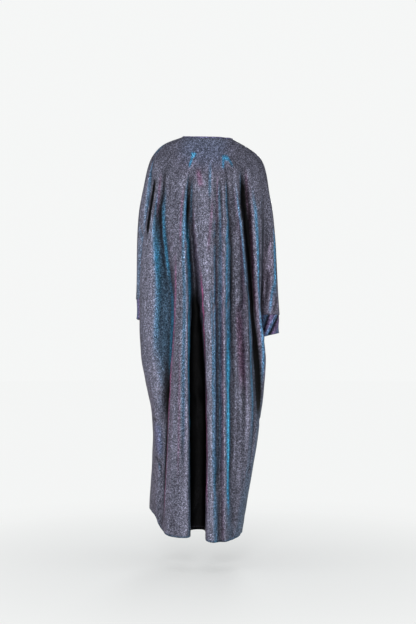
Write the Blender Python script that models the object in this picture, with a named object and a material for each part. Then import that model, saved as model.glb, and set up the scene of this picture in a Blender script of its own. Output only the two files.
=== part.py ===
"""A loose abaya with batwing sleeves, as it hangs on a standing figure with both arms down.

Metres, +Z up. The back of the garment faces +Y and its left side is at +X. The origin is at
the shoulders, level with the nape, and the hem is 1.4 m below it. Each panel is a wall of
cloth through rings that run round the figure, from the neck to the hem. On the way down a
ring passes through the same fold lines: a fold line is one ridge or valley of the drape.
"""

import functools
import math

import bpy
import numpy as np

MM = 0.001

WALL = 0.002
SEAM_GAP = 0.0003
CUFF_DEPTH = 0.075
CUFF_EASE = 0.93
CUFF_WAIST = 0.05
MITRE_LIMIT = 1.8
NORMAL_STEP = 0.004

# The levels that the rings are worked out from. drop: how far down the cloth, in mm. The other
# columns are the heights of the ring at its left, right, back and front, in mm.
LEVELS = (
    # name, drop, left_z, right_z, back_z, front_z
    ("neck", 0, 8, 0, 1, -85),
    ("collar", 40, -12, -26, -36, -112),
    ("shoulder", 95, -47, -60, -95, -165),
    ("armpit", 240, -195, -200, -240, -270),
    ("cuff", 600, -572, -630, -600, -600),
    ("thigh", 780, -770, -785, -780, -780),
    ("knee", 980, -960, -980, -980, -980),
    ("hem", 1410, -1322, -1404, -1410, -1385),
)
CUFF_LEVEL = 4

# Above the armpit the cloth lies smooth, so these rings are plain ovals. Millimetres.
OVALS = (
    # name, left_x, right_x, back_y, front_y
    ("neck", 92, -90, 60, -94),
    ("collar", 149, -138, 80, -116),
    ("shoulder", 191, -182, 102, -134),
)
ARMPIT_OVAL = (238, -225, 124, -152)
ARMPIT_SIDE_Y = -15

# The arm's cloth from the overarm seam round to the underarm. angle: place round the wrist, in
# degrees from the outside. inset and y: place at the armpit, inwards from the outline, in mm.
ARM_LINES = (
    # name, angle, inset, back_y, front_y
    ("seam", 0, 0, -15, -15),
    ("outer", 45, 1, 3, -33),
    ("middle", 90, 6, 18, -48),
    ("inner", 135, 16, 29, -60),
)
ARM_OUTLINE = {"left": 237, "right": -223}
WRIST = {"left": (227, -42, 35), "right": (-224, -18, 35)}

# The fold lines of the two panels, from the left side to the right, in mm: x and y at the
# armpit, the cuff, the thigh, the knee and the hem, and the height at the hem.
# cells: how many cells of the wall lie between a line and the next one.
BACK_FOLDS = (
    # name, cells, armpit x y, cuff x y, thigh x y, knee x y, hem x y z
    ("side_left", 5, 203, 24, 189, -38, 176, -34, 190, -14, 201, -6, -1326),
    ("drape_edge", 4, 204, 50, 244, 34, 240, 26, 204, 28, 210, 26, -1322),
    ("edge_ridge", 5, 187, 67, 214, 84, 207, 97, 186, 103, 187, 97, -1338),
    ("blade_valley", 5, 172, 69, 131, 98, 139, 103, 148, 121, 166, 120, -1377),
    ("left_ridge", 4, 108, 106, 109, 138, 117, 147, 122, 157, 138, 158, -1398),
    ("left_plateau", 5, 80, 113, 73, 150, 73, 160, 71, 170, 69, 184, -1400),
    ("recess_left", 3, 66, 109, 53, 98, 58, 78, 58, 66, 57, 62, -1394),
    ("recess_right", 5, 59, 108, 37, 96, 24, 78, 15, 64, 17, 58, -1394),
    ("recess_ridge", 4, 42, 119, 12, 152, 4, 164, 1, 174, 4, 190, -1411),
    ("right_plateau", 3, -10, 124, -17, 156, -21, 166, -21, 178, -17, 196, -1415),
    ("shallow_valley", 2, -36, 117, -40, 140, -41, 146, -42, 160, -42, 180, -1415),
    ("bright_ridge", 4, -54, 121, -55, 150, -56, 160, -56, 171, -59, 187, -1414),
    ("bright_valley", 4, -82, 104, -92, 113, -92, 123, -91, 139, -80, 167, -1411),
    ("right_ridge", 5, -110, 106, -137, 131, -138, 138, -140, 134, -97, 150, -1408),
    ("side_valley", 5, -130, 78, -160, 76, -172, 76, -176, 92, -110, 120, -1404),
    ("sleeve_ridge", 5, -160, 82, -185, 76, -205, 62, -188, 52, -120, 72, -1400),
    ("side_right", 0, -196, 42, -185, -12, -179, -12, -177, -8, -116, 4, -1404),
)
FRONT_FOLDS = (
    # name, cells, armpit x y, cuff x y, thigh x y, knee x y, hem x y z
    ("side_left", 4, 203, -62, 189, -48, 176, -34, 190, -14, 201, -6, -1326),
    ("left_edge", 4, 188, -84, 191, -96, 214, -82, 196, -62, 203, -56, -1330),
    ("left_valley", 4, 166, -90, 162, -94, 172, -100, 166, -98, 176, -100, -1352),
    ("left_breast", 4, 132, -122, 132, -130, 140, -136, 140, -140, 146, -144, -1372),
    ("left_fold", 4, 104, -124, 102, -112, 104, -108, 106, -108, 110, -110, -1380),
    ("left_centre", 4, 62, -150, 60, -157, 58, -163, 60, -168, 66, -174, -1384),
    ("centre_fold", 4, 12, -146, 15, -122, 18, -112, 20, -106, 26, -106, -1382),
    ("right_centre", 4, -38, -154, -34, -161, -32, -167, -30, -172, -22, -178, -1388),
    ("right_fold", 4, -88, -132, -84, -118, -84, -112, -80, -116, -62, -126, -1392),
    ("right_breast", 4, -128, -120, -128, -134, -132, -140, -128, -140, -88, -138, -1396),
    ("right_valley", 4, -162, -90, -162, -86, -168, -88, -160, -92, -107, -102, -1400),
    ("right_edge", 4, -184, -80, -184, -78, -196, -64, -180, -56, -118, -54, -1403),
    ("side_right", 0, -196, -58, -185, -24, -179, -12, -177, -8, -116, 4, -1404),
)
ARM_CELLS = 3

# Where the rings of the wall lie between one level and the next.
RINGS_BETWEEN = (2, 2, 3, 5, 4, 3, 5)
UNDERARM_RING = 0.020

# Colour, roughness and metallic value of each piece.
CLOTH_LOOK = ((0.115, 0.105, 0.150), 0.45, 0.55)
CUFF_LOOK = ((0.085, 0.080, 0.150), 0.45, 0.55)


def clear_scene():
    for obj in list(bpy.data.objects):
        bpy.data.objects.remove(obj, do_unlink=True)


def drop_of(level):
    """How far down the cloth a level lies, in metres."""
    return LEVELS[level][1] * MM


def finish(name, look):
    colour, roughness, metallic = look
    material = bpy.data.materials.new(name)
    material.use_nodes = True
    shader = material.node_tree.nodes["Principled BSDF"]
    shader.inputs["Base Color"].default_value = (*colour, 1.0)
    shader.inputs["Roughness"].default_value = roughness
    shader.inputs["Metallic"].default_value = metallic
    return material


def unit(vectors):
    return vectors / np.maximum(np.linalg.norm(vectors, axis=-1, keepdims=True), 1e-12)


def oval_point(level, turn, back):
    """The point of a smooth ring above the armpit, at an angle round it."""
    _, left_x, right_x, back_y, front_y = OVALS[level]
    across = math.cos(turn)
    along = math.sin(turn)
    x = (left_x if across > 0 else -right_x) * across
    y = (back_y if back else front_y) * along
    return x, y, ring_height(level, turn, back)


def ring_height(level, turn, back):
    """The height of a level's ring: its side heights turn into its back or front height."""
    _, _, left_z, right_z, back_z, front_z = LEVELS[level]
    side = left_z if math.cos(turn) > 0 else right_z
    end = back_z if back else front_z
    share = math.sin(turn) ** 2
    return side * (1 - share) + end * share


def turn_of(x, y):
    """The angle of a point from the left side of the armpit's oval, and whether it is behind."""
    left_x, right_x, back_y, front_y = ARMPIT_OVAL
    half_width = left_x if x > 0 else -right_x
    back = y >= ARMPIT_SIDE_Y
    half_depth = (back_y if back else front_y) - ARMPIT_SIDE_Y
    return math.atan2((y - ARMPIT_SIDE_Y) / half_depth, x / half_width), back


def wall_height(level, x, y):
    """The height at a point of a level with folds, from its angle about the level's middle."""
    left_x, right_x, back_y, front_y = ARMPIT_OVAL
    turn = math.atan2(y / (back_y if y > 0 else -front_y), x / (left_x if x > 0 else -right_x))
    return ring_height(level, turn, y > 0)


def line_points(armpit, lower, hem_z):
    """One fold line: its point at each level, from the neck down, in metres."""
    x, y = armpit
    turn, back = turn_of(x, y)
    points = [oval_point(level, turn, back) for level in range(len(OVALS))]
    points.append((x, y, wall_height(len(OVALS), x, y)))
    for step, (px, py) in enumerate(lower):
        level = CUFF_LEVEL + step
        last = hem_z is not None and step == len(lower) - 1
        points.append((px, py, hem_z if last else wall_height(level, px, py)))
    return np.array(points) * MM


def fold_lines(table):
    lines = []
    for _, _, ax, ay, cx, cy, tx, ty, kx, ky, hx, hy, hz in table:
        lines.append(line_points((ax, ay), ((cx, cy), (tx, ty), (kx, ky), (hx, hy)), hz))
    return lines


def arm_lines(side, back):
    """The lines of one half of a sleeve, from the overarm seam to the one before the underarm."""
    outline = ARM_OUTLINE[side]
    sign = 1 if side == "left" else -1
    centre_x, centre_y, radius = WRIST[side]
    lines = []
    for _, angle, inset, back_y, front_y in ARM_LINES:
        turn = math.radians(angle if back else -angle)
        cuff = (centre_x + sign * radius * math.cos(turn), centre_y + radius * math.sin(turn))
        armpit = (outline - sign * inset, back_y if back else front_y)
        lines.append(line_points(armpit, (cuff,), None))
    return lines


def hermite(t, start, start_slope, end, end_slope):
    """A point on a smooth curve between two points, with its direction at both."""
    return (
        (1 + 2 * t) * (1 - t) ** 2 * start
        + t * (1 - t) ** 2 * start_slope
        + t * t * (3 - 2 * t) * end
        + t * t * (t - 1) * end_slope
    )


def along(line, drop):
    """The point of a fold line at a drop in metres, on a smooth curve through its levels."""
    knots = np.array([drop_of(level) for level in range(len(line))])
    slopes = np.gradient(line, knots, axis=0)
    piece = int(np.clip(np.searchsorted(knots, drop, side="right") - 1, 0, len(knots) - 2))
    span = knots[piece + 1] - knots[piece]
    t = (drop - knots[piece]) / span
    return hermite(
        t, line[piece], span * slopes[piece], line[piece + 1], span * slopes[piece + 1]
    )


def along_side(line, partner, drop):
    """The edge of a panel at its side: below the underarm it closes on the other panel's edge."""
    closed = min(max((drop - drop_of(CUFF_LEVEL)) / UNDERARM_RING, 0.0), 1.0)
    return along(line, drop) * (1 - closed / 2) + along(partner, drop) * closed / 2


def ring_curve(points, cells):
    """Points and directions of a smooth curve through a ring's fold lines, at one drop.

    The first and the last point lie past the curve's two ends, and only set its direction there.
    """
    steps = np.sqrt(np.linalg.norm(np.diff(points, axis=0), axis=1))[:, None]
    rates = np.diff(points, axis=0) / steps
    across = (points[2:] - points[:-2]) / (steps[1:] + steps[:-1])
    slopes = rates[:-1] + rates[1:] - across
    found = []
    directions = []
    for i, count in enumerate(cells):
        p, q = points[i + 1], points[i + 2]
        m, n = slopes[i] * steps[i + 1], slopes[i + 1] * steps[i + 1]
        last = i == len(cells) - 1
        for t in np.arange(count + last) / count:
            found.append(hermite(t, p, m, q, n))
            directions.append(
                6 * t * (t - 1) * (p - q) + (1 - t) * (1 - 3 * t) * m + t * (3 * t - 2) * n
            )
    return np.array(found), unit(np.array(directions))


class Panel:
    """One panel: the body between its side seams, and half of each sleeve."""

    def __init__(self, table, other, back):
        self.back = back
        self.body = fold_lines(table)
        self.other = fold_lines(other)
        self.cells = [row[1] for row in table[:-1]]
        self.arms = {side: arm_lines(side, back) for side in ("left", "right")}
        self.past = {side: arm_lines(side, not back)[1] for side in ("left", "right")}

    def body_ring(self, drop):
        lines = (self.other[1], *self.body, self.other[-2])
        points = np.array([along(line, drop) for line in lines])
        for place, end in ((1, 0), (-2, -1)):
            points[place] = along_side(self.body[end], self.other[end], drop)
        return ring_curve(points, self.cells)

    def arm_ring(self, side, drop):
        """One half of a sleeve, from the overarm seam to the underarm."""
        end = self.body[0] if side == "left" else self.body[-1]
        end = end[: CUFF_LEVEL + 1]
        beyond = 2 * end - self.arms[side][-1]
        lines = (self.past[side], *self.arms[side], end, beyond)
        points = np.array([along(line, drop) for line in lines])
        return ring_curve(points, [ARM_CELLS] * len(ARM_LINES))


def ring_drops():
    """How far down the cloth each ring of the wall lies."""
    drops = [drop_of(0)]
    for level, count in enumerate(RINGS_BETWEEN):
        low, high = drop_of(level), drop_of(level + 1)
        if level == CUFF_LEVEL:
            low += UNDERARM_RING
            drops.append(low)
            count -= 1
        drops += [low + (high - low) * (i + 1) / count for i in range(count)]
    return drops


class Stretch:
    """A stretch of wall whose rings all have the same cells, from the neck to a level."""

    def __init__(self, ring, level):
        self.ring = ring
        self.end = drop_of(level)

    def normals(self, drop):
        """Unit normals: across the ring and down its fold lines."""
        above = self.ring(max(drop - NORMAL_STEP, 0.0))[0]
        below = self.ring(min(drop + NORMAL_STEP, self.end))[0]
        return unit(np.cross(self.ring(drop)[1], unit(below - above)))


def underarm_offset(body_way, body_normal, arm_way, arm_normal):
    """The way from the outer to the inner point where a sleeve meets the body, at a corner."""
    joint = unit(body_normal + arm_normal + body_way - arm_way)
    lean = max(abs(float(np.dot(joint, arm_normal))), 1 / MITRE_LIMIT)
    return -joint * WALL / lean


def panel_grid(panel):
    """The outer and the inner points of a panel. A ring below the cuffs has no sleeve columns."""
    body = Stretch(panel.body_ring, len(LEVELS) - 1)
    pad = np.full((ARM_CELLS * len(ARM_LINES), 3), np.nan)
    flip = -1 if panel.back else 1
    outer_rows = []
    inner_rows = []
    for drop in ring_drops():
        points, ways = body.ring(drop)
        offsets = body.normals(drop) * -flip * WALL
        outer = {"left": pad, "right": pad}
        inner = {"left": pad, "right": pad}
        for side, end, sign in (("left", 0, 1), ("right", -1, -1)):
            if drop > drop_of(CUFF_LEVEL) + UNDERARM_RING / 2:
                points[end] += sign * ways[end] * SEAM_GAP / 2
                continue
            arm = Stretch(functools.partial(panel.arm_ring, side), CUFF_LEVEL)
            arm_points, arm_ways = arm.ring(drop)
            arm_normals = arm.normals(drop) * flip * sign
            body_normal = -offsets[end] / WALL
            offsets[end] = underarm_offset(
                sign * ways[end], body_normal, arm_ways[-1], arm_normals[-1]
            )
            arm_points[0] += arm_ways[0] * SEAM_GAP / 2
            outer[side] = arm_points[:-1][::sign]
            inner[side] = (arm_points - arm_normals * WALL)[:-1][::sign]
        outer_rows.append(np.concatenate([outer["left"], points, outer["right"]]))
        inner_rows.append(np.concatenate([inner["left"], points + offsets, inner["right"]]))
    return np.array(outer_rows), np.array(inner_rows)


def wall_mesh(name, outer, inner, outer_faces_out):
    """A closed wall between two grids of points. A cell with a missing corner is left out."""
    rows, columns = outer.shape[:2]
    present = ~np.isnan(outer[..., 0])
    index = -np.ones((rows, columns), int)
    index[present] = np.arange(present.sum())
    count = int(present.sum())
    points = np.concatenate([outer[present], inner[present]])
    faces = []
    edges = {}
    for r in range(rows - 1):
        for c in range(columns - 1):
            corners = [index[r, c], index[r + 1, c], index[r + 1, c + 1], index[r, c + 1]]
            if min(corners) < 0:
                continue
            if not outer_faces_out:
                corners.reverse()
            faces.append(corners)
            faces.append([count + i for i in reversed(corners)])
            for a, b in zip(corners, corners[1:] + corners[:1]):
                edges[(a, b)] = edges.get((a, b), 0) + 1
    for a, b in edges:
        if (b, a) not in edges:
            faces.append([b, a, count + a, count + b])
    mesh = bpy.data.meshes.new(name)
    mesh.from_pydata([tuple(p) for p in points], [], [[int(i) for i in f] for f in faces])
    mesh.update()
    return mesh


def add_object(name, mesh, look):
    mesh.materials.append(finish(name, look))
    mesh.shade_smooth()
    obj = bpy.data.objects.new(name, mesh)
    bpy.context.scene.collection.objects.link(obj)
    return obj


def cuff(side, back, front):
    """A cuff band: a tube round the wrist, from just below the sleeve's end."""
    end = drop_of(CUFF_LEVEL)
    back_half = back.arm_ring(side, end)[0]
    front_half = front.arm_ring(side, end)[0]
    ring = np.concatenate([back_half, front_half[1:][::-1]])
    centre_x, centre_y, _ = WRIST[side]
    centres = np.array([centre_x * MM, centre_y * MM, -SEAM_GAP]) + ring * (0.0, 0.0, 1.0)
    spokes = (ring - centres) * (1.0, 1.0, 0.0)
    size = np.linalg.norm(spokes, axis=1).mean() * CUFF_EASE
    outer_rows = []
    inner_rows = []
    for share in (0.0, 0.5, 1.0):
        radius = size * (1 - CUFF_WAIST * math.sin(math.pi * share))
        places = centres - np.array([0.0, 0.0, CUFF_DEPTH * share])
        outer_rows.append(places + unit(spokes) * radius)
        inner_rows.append(places + unit(spokes) * (radius - WALL))
    return closed_tube(f"cuff_{side}", np.array(outer_rows), np.array(inner_rows), side == "left")


def closed_tube(name, outer, inner, outer_faces_out):
    rows, columns = outer.shape[:2]
    points = np.concatenate([outer.reshape(-1, 3), inner.reshape(-1, 3)])
    count = rows * columns
    faces = []
    for c in range(columns):
        d = (c + 1) % columns
        for r in range(rows - 1):
            face = [r * columns + c, (r + 1) * columns + c, (r + 1) * columns + d, r * columns + d]
            faces.append(face)
            faces.append([count + i for i in reversed(face)])
        last = (rows - 1) * columns
        faces.append([d, count + d, count + c, c])
        faces.append([last + c, count + last + c, count + last + d, last + d])
    if not outer_faces_out:
        faces = [face[::-1] for face in faces]
    mesh = bpy.data.meshes.new(name)
    mesh.from_pydata([tuple(p) for p in points], [], [[int(i) for i in f] for f in faces])
    mesh.update()
    return mesh


def main():
    clear_scene()
    back = Panel(BACK_FOLDS, FRONT_FOLDS, True)
    front = Panel(FRONT_FOLDS, BACK_FOLDS, False)
    for name, panel in (("back", back), ("front", front)):
        outer, inner = panel_grid(panel)
        add_object(name, wall_mesh(name, outer, inner, panel.back), CLOTH_LOOK)
    for side in ("left", "right"):
        add_object(f"cuff_{side}", cuff(side, back, front), CUFF_LOOK)


main()
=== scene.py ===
"""The looks of a loose batwing abaya in shimmering cloth, round the frame of its solids.

Metres, +Z up. The back of the garment faces +Y and its left side is at +X. The cloth panels
follow the same fold lines as the solids, with the small folds, seams and stitches added.
"""

import math

import bpy
import numpy as np
from bpy.props import FloatProperty, FloatVectorProperty, PointerProperty
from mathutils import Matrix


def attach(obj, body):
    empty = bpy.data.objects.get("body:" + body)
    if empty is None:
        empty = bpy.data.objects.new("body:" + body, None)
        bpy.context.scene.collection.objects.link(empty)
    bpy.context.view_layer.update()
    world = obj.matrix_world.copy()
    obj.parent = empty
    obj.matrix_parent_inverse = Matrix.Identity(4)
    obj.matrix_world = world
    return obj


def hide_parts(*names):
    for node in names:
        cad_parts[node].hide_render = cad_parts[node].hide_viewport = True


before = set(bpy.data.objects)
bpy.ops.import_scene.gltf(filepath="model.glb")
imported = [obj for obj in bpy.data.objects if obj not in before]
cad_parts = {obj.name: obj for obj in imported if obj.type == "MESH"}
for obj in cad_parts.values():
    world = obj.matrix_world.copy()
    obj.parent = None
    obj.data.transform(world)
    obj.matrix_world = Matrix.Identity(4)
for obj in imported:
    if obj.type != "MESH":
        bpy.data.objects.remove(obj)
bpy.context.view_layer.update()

bl_info = {
    "name": "Shimmering abaya",
    "version": (1, 0, 0),
    "blender": (4, 5, 0),
    "location": "View3D > Sidebar > Abaya",
    "description": "Makes the cloth panels, cuffs, edges and stitches of a worn batwing abaya",
    "category": "Add Mesh",
}

MM = 0.001

# The levels of the drape. drop: how far down the cloth, in mm. The other columns are the heights
# of the ring at its left, right, back and front, in mm.
LEVELS = (
    # name, drop, left_z, right_z, back_z, front_z
    ("neck", 0, 8, 0, 1, -85),
    ("collar", 40, -12, -26, -36, -112),
    ("shoulder", 95, -47, -60, -95, -165),
    ("armpit", 240, -195, -200, -240, -270),
    ("cuff", 600, -572, -630, -600, -600),
    ("thigh", 780, -770, -785, -780, -780),
    ("knee", 980, -960, -980, -980, -980),
    ("hem", 1410, -1322, -1404, -1410, -1385),
)
CUFF_LEVEL = 4
HEM_DROP = LEVELS[-1][1] * MM
UNDERARM_RING = 0.020
CUFF_DEPTH = 0.075
CUFF_EASE = 0.93
CUFF_WAIST = 0.05
CUFF_THICKNESS = 0.0016
CUFF_ROWS = 28
# Shares of a cuff's depth: how far it is tucked into the sleeve, over which its folds grow, and
# where its rim swells, with the width of the swelling and its rise in mm.
CUFF_TUCK = 0.05
CUFF_GROWTH = 0.35
CUFF_RIM = (0.97, 0.04, 0.6)
# The blue, rose and dark of a cuff: its own tint on the flat, then the gain for each mm of a
# flank, as painted sheen, or of a groove, as painted shade, and the greatest gain.
CUFF_TONES = ((0.10, 0.16, 0.4), (0.08, 0.10, 0.3), (0.10, 0.30, 0.8))
# A cuff's crests get a painted highlight and its hollows painted shade, by this share for each mm
# of a fold.
CUFF_CREST = 0.4
FLANK_ANGLE = 0.25
# How much higher the rim of a cuff is at its outer side, in mm, and where that side lies.
CUFF_SLANT = {"left": 3, "right": 9}
SLANT_ANGLE = math.radians(20)
# Folds on the cuffs. angle: from the outer side towards the back, in degrees. lean: how far the
# fold goes round from top to rim, and width, in radians. rise: in mm.
CUFF_FOLDS = {
    "left": (
        # angle, lean, width, rise
        (35, 0.5, 0.30, 1.6),
        (80, -0.8, 0.22, -2.0),
        (125, 0.6, 0.30, 1.8),
        (-60, 0.7, 0.3, 1.8),
        (-110, -0.5, 0.25, -1.8),
        (180, 0.4, 0.3, -1.4),
    ),
    "right": (
        (25, 1.2, 0.28, 1.8),
        (62, 1.3, 0.20, -2.8),
        (95, 1.2, 0.26, 2.2),
        (128, 1.0, 0.20, -2.6),
        (165, 0.8, 0.3, 1.6),
        (-50, -0.8, 0.3, 2.0),
        (-100, -0.6, 0.25, -2.0),
    ),
}

# Above the armpit the cloth lies smooth, so these rings are plain ovals. Millimetres.
OVALS = (
    # name, left_x, right_x, back_y, front_y
    ("neck", 92, -90, 60, -94),
    ("collar", 149, -138, 80, -116),
    ("shoulder", 191, -182, 102, -134),
)
ARMPIT_OVAL = (238, -225, 124, -152)
ARMPIT_SIDE_Y = -15

# The arm's cloth from the overarm seam round to the underarm. angle: place round the wrist, in
# degrees from the outside. inset and y: place at the armpit, inwards from the outline, in mm.
ARM_LINES = (
    # name, angle, inset, back_y, front_y
    ("seam", 0, 0, -15, -15),
    ("outer", 45, 1, 3, -33),
    ("middle", 90, 6, 18, -48),
    ("inner", 135, 16, 29, -60),
)
ARM_OUTLINE = {"left": 237, "right": -223}
WRIST = {"left": (227, -42, 35), "right": (-224, -18, 35)}

# The fold lines of the two panels, from the left side to the right, in mm: x and y at the
# armpit, the cuff, the thigh, the knee and the hem, and the height at the hem.
# cells: how many cells of the cloth lie between a line and the next one.
BACK_FOLDS = (
    # name, cells, armpit x y, cuff x y, thigh x y, knee x y, hem x y z
    ("side_left", 13, 203, 24, 189, -38, 176, -34, 190, -14, 201, -6, -1326),
    ("drape_edge", 13, 204, 50, 244, 34, 240, 26, 204, 28, 210, 26, -1322),
    ("edge_ridge", 16, 187, 67, 214, 84, 207, 97, 186, 103, 187, 97, -1338),
    ("blade_valley", 14, 172, 69, 131, 98, 139, 103, 148, 121, 166, 120, -1377),
    ("left_ridge", 12, 108, 106, 109, 138, 117, 147, 122, 157, 138, 158, -1398),
    ("left_plateau", 16, 80, 113, 73, 150, 73, 160, 71, 170, 69, 184, -1400),
    ("recess_left", 10, 66, 109, 53, 98, 58, 78, 58, 66, 57, 62, -1394),
    ("recess_right", 16, 59, 108, 37, 96, 24, 78, 15, 64, 17, 58, -1394),
    ("recess_ridge", 9, 42, 119, 12, 152, 4, 164, 1, 174, 4, 190, -1411),
    ("right_plateau", 8, -10, 124, -17, 156, -21, 166, -21, 178, -17, 196, -1415),
    ("shallow_valley", 6, -36, 117, -40, 140, -41, 146, -42, 160, -42, 180, -1415),
    ("bright_ridge", 12, -54, 121, -55, 150, -56, 160, -56, 171, -59, 187, -1414),
    ("bright_valley", 12, -82, 104, -92, 113, -92, 123, -91, 139, -80, 167, -1411),
    ("right_ridge", 14, -110, 106, -137, 131, -138, 138, -140, 134, -97, 150, -1408),
    ("side_valley", 12, -130, 78, -160, 76, -172, 76, -176, 92, -110, 120, -1404),
    ("sleeve_ridge", 13, -160, 82, -185, 76, -205, 62, -188, 52, -120, 72, -1400),
    ("side_right", 0, -196, 42, -185, -12, -179, -12, -177, -8, -116, 4, -1404),
)
FRONT_FOLDS = (
    # name, cells, armpit x y, cuff x y, thigh x y, knee x y, hem x y z
    ("side_left", 12, 203, -62, 189, -48, 176, -34, 190, -14, 201, -6, -1326),
    ("left_edge", 12, 188, -84, 191, -96, 214, -82, 196, -62, 203, -56, -1330),
    ("left_valley", 13, 166, -90, 162, -94, 172, -100, 166, -98, 176, -100, -1352),
    ("left_breast", 13, 132, -122, 132, -130, 140, -136, 140, -140, 146, -144, -1372),
    ("left_fold", 15, 104, -124, 102, -112, 104, -108, 106, -108, 110, -110, -1380),
    ("left_centre", 15, 62, -150, 60, -157, 58, -163, 60, -168, 66, -174, -1384),
    ("centre_fold", 16, 12, -146, 15, -122, 18, -112, 20, -106, 26, -106, -1382),
    ("right_centre", 15, -38, -154, -34, -161, -32, -167, -30, -172, -22, -178, -1388),
    ("right_fold", 14, -88, -132, -84, -118, -84, -112, -80, -116, -62, -126, -1392),
    ("right_breast", 14, -128, -120, -128, -134, -132, -140, -128, -140, -88, -138, -1396),
    ("right_valley", 12, -162, -90, -162, -86, -168, -88, -160, -92, -107, -102, -1400),
    ("right_edge", 12, -184, -80, -184, -78, -196, -64, -180, -56, -118, -54, -1403),
    ("side_right", 0, -196, -58, -185, -24, -179, -12, -177, -8, -116, 4, -1404),
)
HEM_DEPTH = 0.014
BINDING_RADIUS = 0.0016
BINDING_SIDES = 10
STITCH_PITCH = 0.0042
STITCH_LENGTH = STITCH_PITCH * 0.7
STITCH_WIDTH = 0.0004
NECK_MARGIN = 0.008
SEAM_MARGIN = 0.004
ARM_CELLS = 9
ROWS_BETWEEN = (6, 8, 18, 46, 24, 26, 54)
UNDERARM_ROWS = 3
# Small rolls of the cloth: radians in a metre, and rise in mm. The last kind crosses the folds.
WIDE_ROLLS = (104.0, 1.2)
NARROW_ROLLS = (223.0, 0.6)
CROSS_ROLLS = (61.0, 0.3)
# Near a seam the small folds die out over these lengths.
SEAM_CALM = 0.018
CUFF_CALM = 0.012
# Where the painted sheen, blue and rose, on turned flanks and rims and the painted shade deep in
# the recesses start and are full. Turns are sines, and depths are in metres.
FLANK_TURN = (0.26, 0.85)
RIM_TURN = (0.45, 0.95)
RECESS_DEPTH = (0.030, 0.066)
FLANK_TEAL, FLANK_ROSE = 0.60, 0.22
RIM_TEAL, RIM_ROSE = 0.20, 0.12
# The last few mm above the hem are made bluer and darker.
HEM_TEAL, HEM_DARK = 0.40, 0.35
# How much of the painted shade a bright streak of painted sheen takes away.
STREAK_CLEAR = 0.85
# Streaks have a crisper edge than creases, and each mm of a groove darkens the cloth by a share,
# as painted shade.
CRISP_EDGE = 3
GROOVE_SHADE = 0.09
# A crest stands out this much from the cloth this far aside, in metres: aside, then relief. By it
# crests get a painted highlight and hollows painted shade. The turn of a flank is measured against
# the cloth up to this far aside.
RELIEFS = ((0.009, 0.0014), (0.028, 0.010))
TURN_REACH = 0.035
# The painted light marks: blue and rose sheen, shade, and the crest light that gives painted
# highlights and hollow shade.
MARKS = ("teal", "rose", "dark", "crest")
# The cloth's unevenness: how often it changes in a metre, and by what share of its light.
SLUB, SLUB_SHARE = (60.0, 9.0, 1.0), 0.35
PATCH, PATCH_SHARE = (14.0, 5.0, 1.0), 0.25
WARP = (1400.0, 1400.0, 160.0)
WEFT = (180.0, 180.0, 1200.0)
WEAVE_HEIGHT = 0.00028
# The grain: the width and height of its glints, as multiples of one, and their light. The grain is
# the cloth's own random speckle, and its brightest glints are painted highlights of the metal
# yarn.
FINE_GRAIN = (1.0, 1.7)
COARSE_GRAIN = (2.0, 2.6)
GLINT_LIGHT = 2.3
BETWEEN_GLINTS = 0.50
CLOTH_ROUGHNESS = 0.64
GLINT_SHINE = 0.12
CLOTH_SPECULAR = 0.12
# Painted highlight on crests, painted shade in hollows, and the most the painted shade darkens.
CREST_LIGHT = 0.34
HOLLOW_SHADE = 0.62
DARKEST = 0.985
FLAT_MAP = "cloth"

# The stage. The floor fades into a pale glow away from the garment.
FLOOR_RADIUS = 12
FLOOR_CORNERS = 96
FLOOR_COLOUR = (0.55, 0.565, 0.57, 1.0)
GLOW_COLOUR = (0.905, 0.915, 0.91)
SKY_COLOUR = (0.915, 0.925, 0.92, 1.0)
SKY_LIGHT = 0.18
LIGHT_AIM = (0.0, 0.0, -0.7)

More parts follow.
